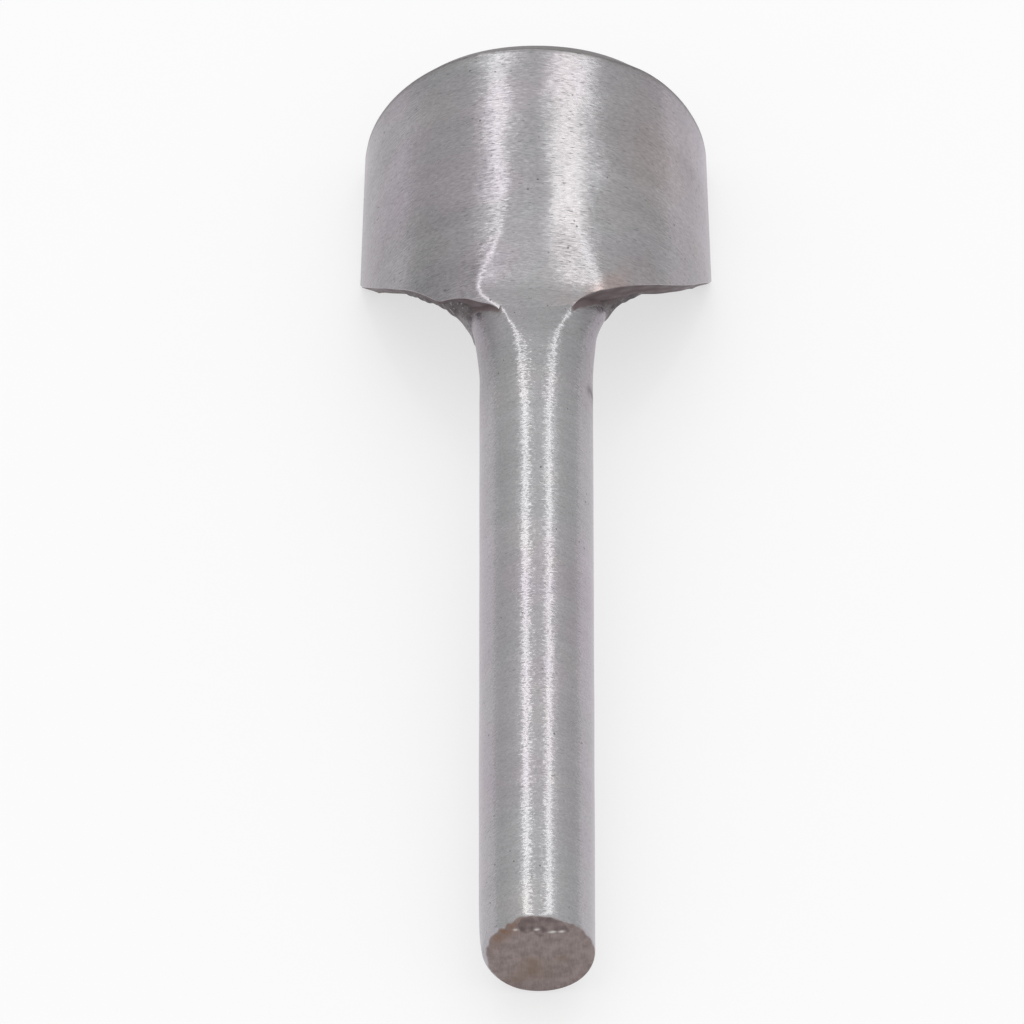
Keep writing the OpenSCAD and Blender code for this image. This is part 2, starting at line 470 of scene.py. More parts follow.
def makeSteel(name, marks):
    s = steelLook
    steel = bpy.data.materials.new(name)
    steel.use_nodes = True
    tree = steel.node_tree
    shader = tree.nodes["Principled BSDF"]
    grain = addNode(tree, "ShaderNodeUVMap", uv_map="grain").outputs["UV"]
    place = addNode(tree, "ShaderNodeTexCoord").outputs["Object"]
    fine = grainNoise(tree, grain, marks["along"], marks["around"], 2.0, 3.1)
    mid = grainNoise(tree, grain, 1.7, marks["midAround"], 2.0, 17.7)
    turned = grainNoise(tree, grain, marks["along"], marks["around"] * 0.7, 1.0, 23.9)
    band = grainNoise(tree, grain, 0.5, 0.04, 2.0, 41.3)
    scratch = ramp(tree, grainNoise(tree, grain, 5.2, 0.9, 1.0, 71.9), 0.67, 0.74)
    cloud = spotNoise(tree, place, 95.0, 3.0, 0.3)
    patch = spotNoise(tree, place, 48.0, 2.0, 5.2)
    pitSpot = addNode(tree, "ShaderNodeTexVoronoi", {
        "Vector": place, "Scale": 900.0, "Randomness": 1.0,
    })
    pitted = ramp(tree, spotNoise(tree, place, 420.0, 2.0, 9.4), 0.57, 0.61)
    pit = times(tree, ramp(tree, pitSpot.outputs["Distance"], 0.13, 0.06), pitted)

    names = ("inside", "sootAndShade", "tinge", "paintedShading", "face", "stain", "rust", "chip", "lipGlint", "calm")
    inside, sootAndShade, tinge, paintedShading, face, stain, rust, chip, lipGlint, calm = (markOf(tree, n) for n in names)

    # colour of the bare steel, with the marks as lighter and darker lines
    colour = mixColour(tree, ramp(tree, patch, 0.50, 0.66), s["grey"], s["lavender"])
    colour = mixColour(tree, ramp(tree, cloud, 0.56, 0.74, 0.0, 0.5), colour, s["tan"])
    colour = mixColour(tree, tinge, colour, s["tinge"])
    # darker on the inner face, and painted shade on the bevel and along its lower edge
    colour = mixColour(tree, inside, colour, s["inside"])
    # paintedShading is painted light: above zero it darkens as painted shade, below zero it lightens as
    # a painted highlight
    level = minus(tree, marks["bright"], times(tree, paintedShading, s["dimBy"]))
    level = plus(tree, level, times(tree, calm, s["calmBy"]))
    level = plus(tree, level, away(tree, fine, marks["fine"]))
    level = plus(tree, level, away(tree, mid, s["midMarks"]))
    level = plus(tree, level, away(tree, band, s["bandMarks"]))
    level = plus(tree, level, away(tree, cloud, s["cloudMarks"]))
    level = minus(tree, level, times(tree, scratch, marks["scratch"]))
    level = minus(tree, level, times(tree, pit, s["pitDark"]))
    scaled = addNode(tree, "ShaderNodeVectorMath", {0: colour, "Scale": level}, operation="SCALE")
    # sootAndShade darkens the steel to dark brown: soot, with painted shade under the heel
    lit = mixColour(tree, sootAndShade, scaled.outputs["Vector"], s["sootAndShade"])

    # brown of the struck end
    mottle = spotNoise(tree, place, 950.0, 3.0, 2.2)
    rub = grainNoise(tree, grain, 0.9, 5.0, 2.0, 8.8)  # faint rubbed lines across the face
    blotch = plus(tree, times(tree, mottle, 0.65), times(tree, rub, 0.35))
    brown = mixColour(tree, ramp(tree, blotch, 0.39, 0.61), s["faceDark"], s["faceBrown"])
    patchy = ramp(tree, spotNoise(tree, place, 480.0, 3.0, 6.6), 0.34, 0.56)
    brown = mixColour(tree, times(tree, stain, patchy), brown, s["faceTan"])
    brown = mixColour(tree, times(tree, rust, ramp(tree, mottle, 0.32, 0.52)), brown, s["rust"])
    # the chip is darker than the face: painted shade in the recess
    chipped = times(tree, chip, ramp(tree, mottle, 0.30, 0.62, 0.95, 0.45))
    brown = mixColour(tree, chipped, brown, s["chip"])
    # painted glints on the burr lips under the chip
    brown = mixColour(tree, lipGlint, brown, s["lipGlint"])
    finish = mixColour(tree, face, lit, brown)
    tree.links.new(finish, shader.inputs["Base Color"])

    bare = minus(tree, 1.0, calc(tree, "MAXIMUM", face, sootAndShade))
    tree.links.new(bare, shader.inputs["Metallic"])
    rough = plus(tree, s["rough"], away(tree, mid, 0.10))
    rough = plus(tree, rough, times(tree, inside, 0.18))
    rough = plus(tree, rough, ramp(tree, bare, 1.0, 0.0, 0.0, 0.55))
    tree.links.new(rough, shader.inputs["Roughness"])
    shader.inputs["Anisotropic"].default_value = s["drawn"]
    tangent = addNode(tree, "ShaderNodeTangent", direction_type="UV_MAP", uv_map="grain").outputs[0]
    tree.links.new(tangent, shader.inputs["Tangent"])

    # each belt mark leans a little to one side, so the edges of the light break up along the marks
    lean = plus(tree, away(tree, turned, marks["tilt"]), away(tree, mid, s["tiltMid"]))
    lean = times(tree, lean, minus(tree, bare, times(tree, calm, 0.5)))
    slope = addNode(tree, "ShaderNodeCombineColor", {0: 0.5, 1: plus(tree, 0.5, lean), 2: 1.0})
    leaned = addNode(tree, "ShaderNodeNormalMap", {
        "Strength": 1.0, "Color": slope.outputs[0],
    }, space="TANGENT", uv_map="grain")
    grooves = plus(tree, pit, times(tree, scratch, 0.25))
    dents = minus(tree, times(tree, times(tree, mottle, face), 0.9), grooves)
    bump = addNode(tree, "ShaderNodeBump", {
        "Strength": 0.8, "Distance": s["dents"], "Height": dents, "Normal": leaned.outputs[0],
    })
    tree.links.new(bump.outputs[0], shader.inputs["Normal"])
    return steel


weldLook = {
    "dark": (0.088, 0.078, 0.078, 1),
    "mid": (0.168, 0.152, 0.152, 1),
    "light": (0.420, 0.400, 0.396, 1),
    "sootAndShade": (0.120, 0.092, 0.092, 1),
    "worn": (0.345, 0.335, 0.342, 1),
    "rough": 0.52,
    "hatch": 4600.0,
    "relief": 0.00025,
}


def makeWeld(name):
    s = weldLook
    weld = bpy.data.materials.new(name)
    weld.use_nodes = True
    tree = weld.node_tree
    shader = tree.nodes["Principled BSDF"]
    place = addNode(tree, "ShaderNodeTexCoord").outputs["Object"]
    strokes = []
    for turn, shift in ((0.62, 1.3), (2.52, 6.4)):  # scraped both ways
        lay = addNode(tree, "ShaderNodeMapping", {
            "Vector": place, "Rotation": (0.0, -0.53, turn),
            "Scale": (7.0, 1, 1), "Location": (shift, shift, shift),
        }, vector_type="TEXTURE")
        stroke = addNode(tree, "ShaderNodeTexNoise", {
            "Vector": lay.outputs[0], "Scale": s["hatch"], "Detail": 2.0, "Roughness": 0.6,
        })
        strokes.append(stroke.outputs["Fac"])
    cross = calc(tree, "MAXIMUM", strokes[0], strokes[1])
    lumps = spotNoise(tree, place, 750.0, 3.0, 4.4)
    colour = mixColour(tree, ramp(tree, lumps, 0.34, 0.62), s["dark"], s["mid"])
    colour = mixColour(tree, ramp(tree, cross, 0.60, 0.76), colour, s["light"])
    worn = times(tree, markOf(tree, "worn"), ramp(tree, cross, 0.42, 0.60, 0.35, 1.0))
    colour = mixColour(tree, worn, colour, s["worn"])
    # dark brown where sootAndShade is set: soot with painted shade next to the heel, painted shade on
    # the underside
    sootAndShade = markOf(tree, "sootAndShade")
    tree.links.new(mixColour(tree, sootAndShade, colour, s["sootAndShade"]), shader.inputs["Base Color"])
    tree.links.new(ramp(tree, sootAndShade, 0.0, 1.0, 0.85, 0.0), shader.inputs["Metallic"])
    tree.links.new(plus(tree, s["rough"], away(tree, lumps, 0.25)), shader.inputs["Roughness"])
    height = plus(tree, times(tree, cross, 0.6), lumps)
    bump = addNode(tree, "ShaderNodeBump", {"Strength": 0.9, "Distance": s["relief"], "Height": height})
    tree.links.new(bump.outputs[0], shader.inputs["Normal"])
    return weld


bladeSteel = makeSteel("bladeSteel", bladeMarks)
shankSteel = makeSteel("shankSteel", shankMarks)
weldMetal = makeWeld("weldMetal")
print("finishes ready")


# geometry trees: sizes come in as named inputs, drawn in mm in the tool's own directions
def newTree(name, sizes):
    tree = bpy.data.node_groups.new(name, "GeometryNodeTree")
    tree.interface.new_socket("Geometry", in_out="OUTPUT", socket_type="NodeSocketGeometry")
    tree.interface.new_socket("Path", in_out="INPUT", socket_type="NodeSocketGeometry")
    kinds = {float: "NodeSocketFloat", int: "NodeSocketInt", bpy.types.Material: "NodeSocketMaterial"}
    keys = {}
    for key, value in sizes.items():
        socket = tree.interface.new_socket(key, in_out="INPUT", socket_type=kinds[type(value)])
        keys[key] = socket.identifier
    given = tree.nodes.new("NodeGroupInput").outputs
    out = tree.nodes.new("NodeGroupOutput").inputs[0]
    return tree, keys, given, out


def runTree(tree, keys, sizes, name, path=()):
    seed = bpy.data.meshes.new(name)
    seed.from_pydata(path, [(i, i + 1) for i in range(len(path) - 1)], [])
    holder = bpy.data.objects.new(name, seed)
    bpy.context.scene.collection.objects.link(holder)
    modifier = holder.modifiers.new("shape", "NODES")
    modifier.node_group = tree
    for key, value in sizes.items():
        modifier[keys[key]] = value
    shaped = holder.evaluated_get(bpy.context.evaluated_depsgraph_get())
    mesh = bpy.data.meshes.new_from_object(shaped)
    holder.modifiers.remove(modifier)
    bpy.data.objects.remove(holder)
    return mesh


def pointsOf(mesh):
    co = np.empty(len(mesh.vertices) * 3, np.float32)
    mesh.vertices.foreach_get("co", co)
    return co.reshape(-1, 3).astype(float)


def setPoints(mesh, points):
    mesh.vertices.foreach_set("co", toRow(points).astype(np.float32).ravel())
    mesh.update()


def faceOut(mesh):
    # signed volume tells which way the faces point
    mesh.calc_loop_triangles()
    corners = np.empty(len(mesh.loop_triangles) * 3, np.int32)
    mesh.loop_triangles.foreach_get("vertices", corners)
    a, b, c = pointsOf(mesh)[corners].reshape(-1, 3, 3).transpose(1, 0, 2)
    if np.einsum("ij,ij->", a, np.cross(b, c)) < 0:
        mesh.flip_normals()


# bar: a round rod with a slightly domed struck face and a rounded rim
shankSet = {
    "Radius": tool["shankR"],
    "Length": tool["tailTipZ"],
    "Rim": 0.9,
    "Dome": 0.06,
    "Rows": 400,
    "Columns": 208,
    "Material": shankSteel,
}
shankWear = {
    "drawIn": 0.15,  # starts at drawFrom and is complete after drawOver
    "drawFrom": 78.4,
    "drawOver": 51.6,
    "uneven": 0.018,
    # how far the flare stands out from the bar, by the distance from the heel
    "flareFrom": [-0.8, 0.1, 1.4, 2.3, 3.2, 4.4, 5.25, 7.9, 9.5],
    "flareLeft": [0.0, 1.15, 1.15, 1.13, 1.1, 0.9, 0.62, 0.2, 0.0],
    "flareRight": [0.0, 1.0, 1.3, 1.7, 1.45, 0.75, 0.42, 0.1, 0.0],
    "flareSoft": 0.25,
    "nipLeft": 0.55,  # ground away on the left of the struck end
    "nipLong": 1.9,
    "sharpRim": 0.6,  # at the back on the right, as a turn and a half width
    "sharpTurn": 2.2,
    "sharpWide": 0.95,
    "restLevel": -6.238,  # the rim stays above the table
    "restSlope": 0.075,
    "backLeft": 1.0,  # how far behind the blade's front the flare reaches the heel
    "backRight": 1.5,
    "chipFrom": -1.9,
    "chipTo": 3.6,
    "chipStart": 3.7,  # where the chip leaves the face, towards the front
    "chipDeep": 0.5,
    # painted glints on the lips under the chip: across, towards the front, half width
    "lips": [(-2.31, 4.45, 0.24), (-0.04, 4.42, 0.26), (1.65, 4.08, 0.40), (2.6, 4.15, 0.30)],
    # stains on the face: across, towards the front, half width, half height, strength
    "stains": [
        (-0.4, -0.7, 1.0, 0.7, 0.6), (-0.8, -2.5, 1.5, 1.1, 1.0),
        (-2.4, -4.0, 0.9, 0.6, 0.5), (2.5, -0.3, 0.8, 0.6, 0.7),
    ],
    "lipHigh": 0.13,
    "rust": (-0.75, 5.5, 0.42, 0.8),  # turn, distance from the middle and their half widths
    "darkened": (6.0, 78.9, 0.4, 0.9, 0.6),  # spot on the right: across, along, half widths, strength
    # painted shade on the flanks of the bar below the neck, stronger on the left
    "dimLeft": 1.35,
    "dimRight": 1.0,
    "dimEnds": (68.0, 82.0),
    "neckCalm": -1.3,
    "calmEnds": (72.0, 80.0),
    # how far soot and painted shade reach down the bar below the heel, on the left and across the right
    "sootShadeLeft": 0.75,
    "sootShadeAcross": [3.6, 3.95, 4.35, 5.2, 6.0, 6.8, 7.5],
    "sootShadeDown": [0.5, 0.75, 1.1, 1.4, 1.3, 0.95, 0.6],
    "underWall": 18.6,
    "tailSpread": 0.004,  # keeps the faces of the cut apart
}


def shankTree(sizes):
    tree, keys, given, out = newTree("shankBar", sizes)
    faceEnd, rimEnd, wallEnd = 0.085, 0.13, 0.985  # shares of the rows
    columns = plus(tree, given["Columns"], 1)
    grid = addNode(tree, "GeometryNodeMeshGrid", {
        "Size X": 1.0, "Size Y": 1.0, "Vertices X": given["Rows"], "Vertices Y": columns,
    })
    start = addNode(tree, "GeometryNodeInputPosition").outputs[0]
    spot = addNode(tree, "ShaderNodeSeparateXYZ", {0: start})
    share = plus(tree, spot.outputs["X"], 0.5)
    turn = times(tree, spot.outputs["Y"], 2 * math.pi)
    face = ramp(tree, share, 0.0, faceEnd)
    rim = times(tree, ramp(tree, share, faceEnd, rimEnd), math.pi / 2)
    wall = ramp(tree, share, rimEnd, wallEnd)
    cap = ramp(tree, share, wallEnd, 1.0)
    flat = minus(tree, given["Radius"], given["Rim"])
    radius = times(tree, flat, face)
    radius = plus(tree, radius, times(tree, given["Rim"], calc(tree, "SINE", rim)))
    radius = minus(tree, radius, times(tree, given["Radius"], cap))
    # rows lie closer near the rim and near the neck
    ease = times(tree, calc(tree, "SINE", times(tree, wall, 2 * math.pi)), -0.11)
    straight = minus(tree, minus(tree, given["Length"], given["Rim"]), given["Dome"])
    height = times(tree, given["Dome"], times(tree, face, face))
    rimRise = times(tree, given["Rim"], minus(tree, 1.0, calc(tree, "COSINE", rim)))
    height = plus(tree, height, rimRise)
    height = plus(tree, height, times(tree, straight, plus(tree, wall, ease)))
    across = times(tree, radius, calc(tree, "SINE", turn))
    front = times(tree, radius, calc(tree, "COSINE", turn))
    spread = addNode(tree, "ShaderNodeCombineXYZ", {"X": across, "Y": front, "Z": height})
    shaped = addNode(tree, "GeometryNodeSetPosition", {
        "Geometry": grid.outputs["Mesh"], "Position": spread.outputs[0],
    })
    closed = addNode(tree, "GeometryNodeMergeByDistance", {
        "Geometry": shaped.outputs[0], "Distance": 0.0005,
    })
    real = addNode(tree, "GeometryNodeRealizeInstances", {"Geometry": closed.outputs[0]})
    done = addNode(tree, "GeometryNodeSetMaterial", {
        "Geometry": real.outputs[0], "Material": given["Material"],
    })
    tree.links.new(done.outputs[0], out)
    return tree, keys


def makeShank():
    s, w = shankSet, shankWear
    tree, keys = shankTree(s)
    mesh = runTree(tree, keys, s, "shank")
    x, d, z = pointsOf(mesh).T
    turn = np.arctan2(x, d)
    radius = np.hypot(x, d)
    grainU = np.where(z < 0.3, z - (s["Radius"] - radius), z)
    grainV = s["Radius"] * turn
    body = smoothStep(0.2, 1.5, z)

    # hand work: drawn in above the straight part and never quite round
    thin = 1 - w["drawIn"] / s["Radius"] * np.clip((z - w["drawFrom"]) / w["drawOver"], 0, 1)
    thin = thin - body * w["uneven"] / s["Radius"] * (1 + 0.6 * waves(z, grainV, 16.0, 4))
    x, d = x * thin, d * thin
    front = d > 0
    d = np.where(front, grindFront(x, d, z), d)
    x = x + w["nipLeft"] * np.exp(-z / w["nipLong"]) * smoothStep(0.1, 1.0, -x / s["Radius"])
    # the rim is sharper at the back on the right
    offTurn = np.angle(np.exp(1j * (turn - w["sharpTurn"])))
    sharp = w["sharpRim"] * hill(offTurn, 0, w["sharpWide"]) * (z < s["Rim"])
    room = np.minimum(s["Rim"] / (s["Radius"] - s["Rim"]), s["Radius"] / np.maximum(radius, 0.1) - 1)
    x, d = x * (1 + sharp * room), d * (1 + sharp * room)
    d = np.where(z < 3.0, np.maximum(d, w["restLevel"] + w["restSlope"] * (1.0 - z)), d)

    # both sides flare out to the heel
    turnHeel = tool["heelAngle"]
    gap = (tool["heelZ"] - math.tan(turnHeel) * (d + tool["bladeBack"]) - z) * math.cos(turnHeel)
    leftFlare = easedTable(w["flareFrom"], w["flareLeft"], w["flareSoft"])
    rightFlare = easedTable(w["flareFrom"], w["flareRight"], w["flareSoft"])
    spread = np.where(x < 0, leftFlare(gap), rightFlare(gap))
    flare = spread * smoothStep(3.3, 5.7, np.abs(x)) * smoothStep(-2.6, 0.4, d)
    wide = x + np.sign(x) * flare
    sweep = wallFront(wide) - wallFront(x)
    x, d = wide, d + sweep
    nearHeel = np.exp(-np.clip(gap, 0, 20) / 1.5) * smoothStep(0.0, 0.6, flare)
    z = z - math.tan(turnHeel) * sweep + heelShift(x) * nearHeel
    back = np.where(x < 0, w["backLeft"], w["backRight"]) * (1 - smoothStep(0.0, 4.5, heelLine(x) - z))
    proud = np.clip(d - wallFront(x) + back, 0, 9) * smoothStep(5.2, 6.6, np.abs(x)) * (z > 70)
    d, z = d - proud, z + 0.88 * proud

    # the front dives under the wall of the blade above the heel edge
    lift = z - heelLine(x)
    under = np.sqrt(w["underWall"] ** 2 - x ** 2) - tool["bladeBack"]
    d = np.where(front, d - 0.05 * smoothStep(0.2, 1.8, lift), d)
    d = np.where(front, d - smoothStep(1.5, 3.0, lift) * np.clip(d - under, 0, 9), d)
    # the tail is cut off on a slope
    tipD = tool["cutR"] - tool["bladeBack"]
    slope = tipD - (tool["tailTipZ"] - z) * math.tan(tool["tailAngle"])
    d = np.maximum(d, slope + w["tailSpread"] * np.minimum(d - slope, 0))

    # chip out of the front of the rim
    rag = 0.30 * waves(x, d, 1.7, 12) + 0.16 * waves(x, d, 0.7, 13)
    bite = smoothStep(w["chipFrom"] - 0.25, w["chipFrom"] + 0.2, x + rag)
    bite = bite * (1 - smoothStep(w["chipTo"] - 0.3, w["chipTo"] + 0.2, x + rag))
    floorZ = w["chipDeep"] * (d - w["chipStart"] - 0.5 * rag) / (tool["shankR"] - w["chipStart"])
    floorZ = (floorZ + 0.05 * waves(x, d, 0.9, 21)) * bite
    chipped = (floorZ > z) & (z < 1.0)
    z = np.where(z < 1.0, np.maximum(z, floorZ), z)

    mesh.name = "shank"
    setPoints(mesh, np.stack([x, d, z], 1))
    faceOut(mesh)
    mesh.shade_smooth()
    mesh.set_sharp_from_angle(angle=math.radians(50))
    onFace = radius < s["Radius"] - s["Rim"] + 0.01
    layGrain(mesh, grainU, grainV, 2 * math.pi * s["Radius"], (onFace, d, x))
    # brown covers the face, and runs over the rim at the front
    ringX, ringD = np.cos(turn) * 6, np.sin(turn) * 6
    edge = 0.24 + 0.26 * smoothStep(-1.1, -0.2, turn) * smoothStep(1.5, 0.9, np.abs(turn))
    edge = edge + 0.08 * waves(ringX, ringD, 3.4, 31) + 0.07 * waves(ringX, ringD, 1.1, 32)
    edge = np.maximum(edge, 0.17) + 0.3 * smoothStep(0.9, 1.4, turn) * (1 - smoothStep(2.3, 2.8, turn))
    layMark(mesh, "face", np.maximum(1 - smoothStep(edge - 0.09, edge + 0.09, z), chipped * 1.0))
    stain = np.zeros_like(x)
    for atX, atD, wide, high, strength in w["stains"]:
        stain = stain + strength * hill(x, atX, wide) * hill(d, atD, high)
    layMark(mesh, "stain", np.clip(stain, 0, 1) * (z < 0.3))
    atTurn, atRadius, wide, high = w["rust"]
    layMark(mesh, "rust", hill(turn, atTurn, wide) * hill(radius, atRadius, high) * (z < 1.2))
    layMark(mesh, "chip", chipped * (0.9 + 0.35 * waves(x, d, 1.2, 33)))
    # painted glints where the burr lips under the chip catch the light
    lipGlint = np.zeros_like(x)
    for atX, atD, wide in w["lips"]:
        lipGlint = np.maximum(lipGlint, hill(x, atX, wide) * hill(d, atD, w["lipHigh"]))
    layMark(mesh, "lipGlint", lipGlint * (z < 0.6))
    # a dark brown band on the bar under the heel: soot with painted shade
    ragged = 0.3 * waves(x, z, 1.6, 14) + 0.15 * waves(x, z, 0.6, 15)
    reach = np.where(x < 0, w["sootShadeLeft"], np.interp(x, w["sootShadeAcross"], w["sootShadeDown"]))
    heelSootAndShade = 1 - smoothStep(reach - 0.15, reach + 0.2, heelFace(x, d) - z + 0.25 * ragged)
    beside = smoothStep(2.6, 5.2, np.abs(x) + ragged)
    heelSootAndShade = heelSootAndShade * np.where(front, smoothStep(3.75, 4.1, np.abs(x)), beside)
    toe = hill(x, s["Radius"] + spread - 0.7, 0.2) * smoothStep(0.0, 0.5, ragged)
    toe = toe * smoothStep(1.6, 2.4, gap) * (1 - smoothStep(4.5, 6.0, gap))
    atX, atZ, wide, high, strength = w["darkened"]
    spot = strength * hill(x, atX, wide) * hill(z, atZ, high) * smoothStep(-0.2, 0.3, ragged) * (d > 0)
    layMark(mesh, "sootAndShade", np.clip(np.maximum(np.maximum(heelSootAndShade, 0.8 * toe) * (z > 80), spot), 0, 1))
    # painted shade on both flanks towards the neck
    paintedShading = np.where(x < 0, w["dimLeft"], w["dimRight"]) * smoothStep(3.6, 5.6, np.abs(x))
    layMark(mesh, "paintedShading", paintedShading * smoothStep(*w["dimEnds"], z))
    layMark(mesh, "calm", w["neckCalm"] * smoothStep(*w["calmEnds"], z))
    putPiece("shankBar", mesh, "shank")


makeShank()


# blade: half a ring with a sloped heel and a ground edge
bladeSet = {
    "edgeZ": 129.98,
    "edgeWorn": 0.2,  # in the middle
    "wornHill": (0.0, 9.0),  # such pairs are a centre and a half width
    "bevelZ": 128.2,
    "bevelWide": 0.3,  # how much lower the bevel starts in the middle
    "wideHill": (0.0, 7.0),
    "bevelThin": 0.42,  # and how much higher on the right
    "thinHill": (13.2, 3.4),
    "bevelR": 19.15,
    "edgeR": 17.65,
    "endRound": 0.22,
    "cornerLeft": 0.75,
    "cornerRight": 0.30,
    "heelRound": 0.09,
    "uneven": 0.03,
    "columns": 290,
    "outerRows": 92,
    "innerRows": 56,
    # marks on the outside, as such pairs too
    # painted shade low on the left, and a painted highlight right of the middle
    "dimHill": (-12.3, 3.2),
    "paintedHighlightHill": (3.4, 1.9),
    "warmHeel": (9.0, 5.0),
    "warmHigh": (13.0, 4.0),
    "warmHighZ": (116.0, 9.0),
    "warmEdge": (7.5, 3.5),
    "livelyHill": (-6.3, 1.5),
    # left border of the ground facet
    "borderZ": [92.7, 95.9, 100.1, 104.2],
    "borderX": [-6.9, -5.9, -4.4, -3.0],
}


def roundOff(distance, radius):
    # how much a rounded edge has lost at this distance from it
    left = np.clip(radius - distance, 0, radius)
    return radius - np.sqrt(np.clip(radius ** 2 - left ** 2, 0, None))


def makeBlade():
    s = bladeSet
    outR, inR, wall = tool["bladeR"], tool["cutR"], tool["bladeR"] - tool["cutR"]
    total = math.pi * outR
    ends = np.array([0.0, 0.02, 0.06, 0.11, 0.17, 0.26, 0.4, 0.58, 0.8])
    arc = np.concatenate([ends, np.linspace(1.0, total - 1.0, s["columns"]), total - ends[::-1]])
    t = arc / outR
    cosT, sinT = np.cos(t), np.sin(t)
    toEnd = np.minimum(arc, total - arc)
    inset = roundOff(toEnd, s["endRound"])
    corner = np.where(cosT > 0, s["cornerRight"], s["cornerLeft"])
    side = outR * cosT
    heelOut = heelLine(side) + roundOff(toEnd, corner) + 0.03 * waves(arc, arc * 0, 6.0, 51)
    lower = heelOut - heelLine(side)
    edgeTop = s["edgeZ"] - s["edgeWorn"] * hill(side, *s["wornHill"])
    bevelLow = s["bevelZ"] - s["bevelWide"] * hill(side, *s["wideHill"])
    bevelLow = bevelLow + s["bevelThin"] * hill(side, *s["thinHill"])

    def row(radius, height):
        return np.stack([radius + 0 * t, height + 0 * t], 1)

    rows, kind = [], []
    near = np.array([0.0, 0.03, 0.08, 0.15, 0.24, 0.36, 0.5, 0.7])
    for i in range(s["outerRows"]):  # outer face, from the heel up to the bevel
        if i < len(near):
            z = heelOut + near[i]
        else:
            share = (i - len(near) + 1) / (s["outerRows"] - len(near))
            z = heelOut + near[-1] + share * (bevelLow - heelOut - near[-1])
        slim = (outR - s["bevelR"]) * np.clip((z - tool["heelZ"]) / (s["bevelZ"] - tool["heelZ"]), 0, 1)
        rows.append(row(outR - slim - inset, z))
        kind.append("outer")
    for share in np.linspace(0, 1, 9)[1:]:
        height = bevelLow + share * (edgeTop - bevelLow) - inset * share
        rows.append(row(s["bevelR"] + share * (s["edgeR"] - s["bevelR"]) - inset * (1 - share), height))
        kind.append("bevel")
    rows.append(row((s["edgeR"] + inR) / 2, edgeTop + 0.01 - inset))
    kind.append("bevel")
    for share in np.linspace(0, 1, s["innerRows"]):
        heelIn = heelFace(inR * cosT, inR * sinT - tool["bladeBack"]) + lower
        height = edgeTop - inset + share * (heelIn - edgeTop + inset)
        rows.append(row(inR + inset * (0.3 + 0.7 * min(1, share * 8)), height))
        kind.append("inner")
    for share in np.linspace(0, 1, 12)[1:-1]:
        at = inR + share * (wall - 0.05)
        height = heelFace(at * cosT, at * sinT - tool["bladeBack"]) + lower
        rows.append(row(at + inset * (1 - 2 * share), height))
        kind.append("heel")
    rz = np.array(rows)  # row, column, (radius, height)
    kind = np.array(kind)
    radius, z = rz[..., 0].copy(), rz[..., 1].copy()

    isOuter, isBevel = (kind == "outer")[:, None], kind == "bevel"
    lift = z - heelOut[None, :]
    offMiddle = smoothStep(4.0, 6.0, np.abs(radius * cosT))
    radius = radius - isOuter * roundOff(lift, s["heelRound"]) * offMiddle
    grainV = outR * (math.pi / 2 - t)[None, :] + 0 * z
    uneven = waves(z, grainV, 15.0, 61) + 0.5 * waves(z, grainV, 6.0, 62) - 1.6
    radius = radius + isOuter * s["uneven"] * np.minimum(uneven, 0) * smoothStep(0.0, 3.0, toEnd)
    x, d = radius * cosT, radius * sinT - tool["bladeBack"]
    ground = grindFront(x, d, z)
    ground = ground - 0.03 * (1 - smoothStep(0.0, 1.2, lift)) * (1 - smoothStep(3.4, 4.2, np.abs(x)))
    d = np.where(isOuter, ground, d)
    bevelShare = np.clip((radius - s["edgeR"]) / (s["bevelR"] - s["edgeR"]), 0, 1)
    d = np.where(isBevel[:, None], d - leanRight(x, z) * bevelShare, d)
    flat = 0.1 * hill(x, *s["wideHill"]) * smoothStep(120.0, 130.0, z)
    d = np.where(kind[:, None] != "inner", d - flat * (kind != "heel")[:, None], d)
    # the heel corners stay above the table
    z = np.maximum(z, 0.02 - (struckPoint[2] * 1000 + d * frontWay[2]) / alongTool[2])

    rowCount, columnCount = z.shape
    index = np.arange(rowCount * columnCount).reshape(rowCount, columnCount)
    after = np.roll(index, -1, axis=0)
    quads = np.stack([index[:, :-1], index[:, 1:], after[:, 1:], after[:, :-1]], -1).reshape(-1, 4)
    faces = [tuple(q) for q in quads.tolist()]
    faces.append(tuple(index[:, 0].tolist()))
    faces.append(tuple(index[::-1, -1].tolist()))
    mesh = meshFrom("blade", np.stack([x.ravel(), d.ravel(), z.ravel()], 1), faces, bladeSteel)
    faceOut(mesh)
    mesh.set_sharp_from_angle(angle=math.radians(38))
    layGrain(mesh, z.ravel(), grainV.ravel())
    # the inner face is darker and rougher; the bevel and a line where the outer face turns into it get
    # painted shade
    edgeShade = isOuter * 0.8 * hill(z, bevelLow, 0.35) * smoothStep(3.0, 8.0, np.abs(x))
    inside = (kind == "inner")[:, None] * 1.0 + isBevel[:, None] * 0.85 + edgeShade
    layMark(mesh, "inside", inside)
    # the heel face and the last inner row go dark brown: soot with painted shade on the downward face
    heelDark = 0.92 + 0.10 * waves(grainV, radius * 3, 2.5, 71)
    lastInner = np.arange(rowCount) == np.nonzero(kind == "inner")[0][-1]
    layMark(mesh, "sootAndShade", ((kind == "heel") | lastInner)[:, None] * np.clip(heelDark, 0, 1))
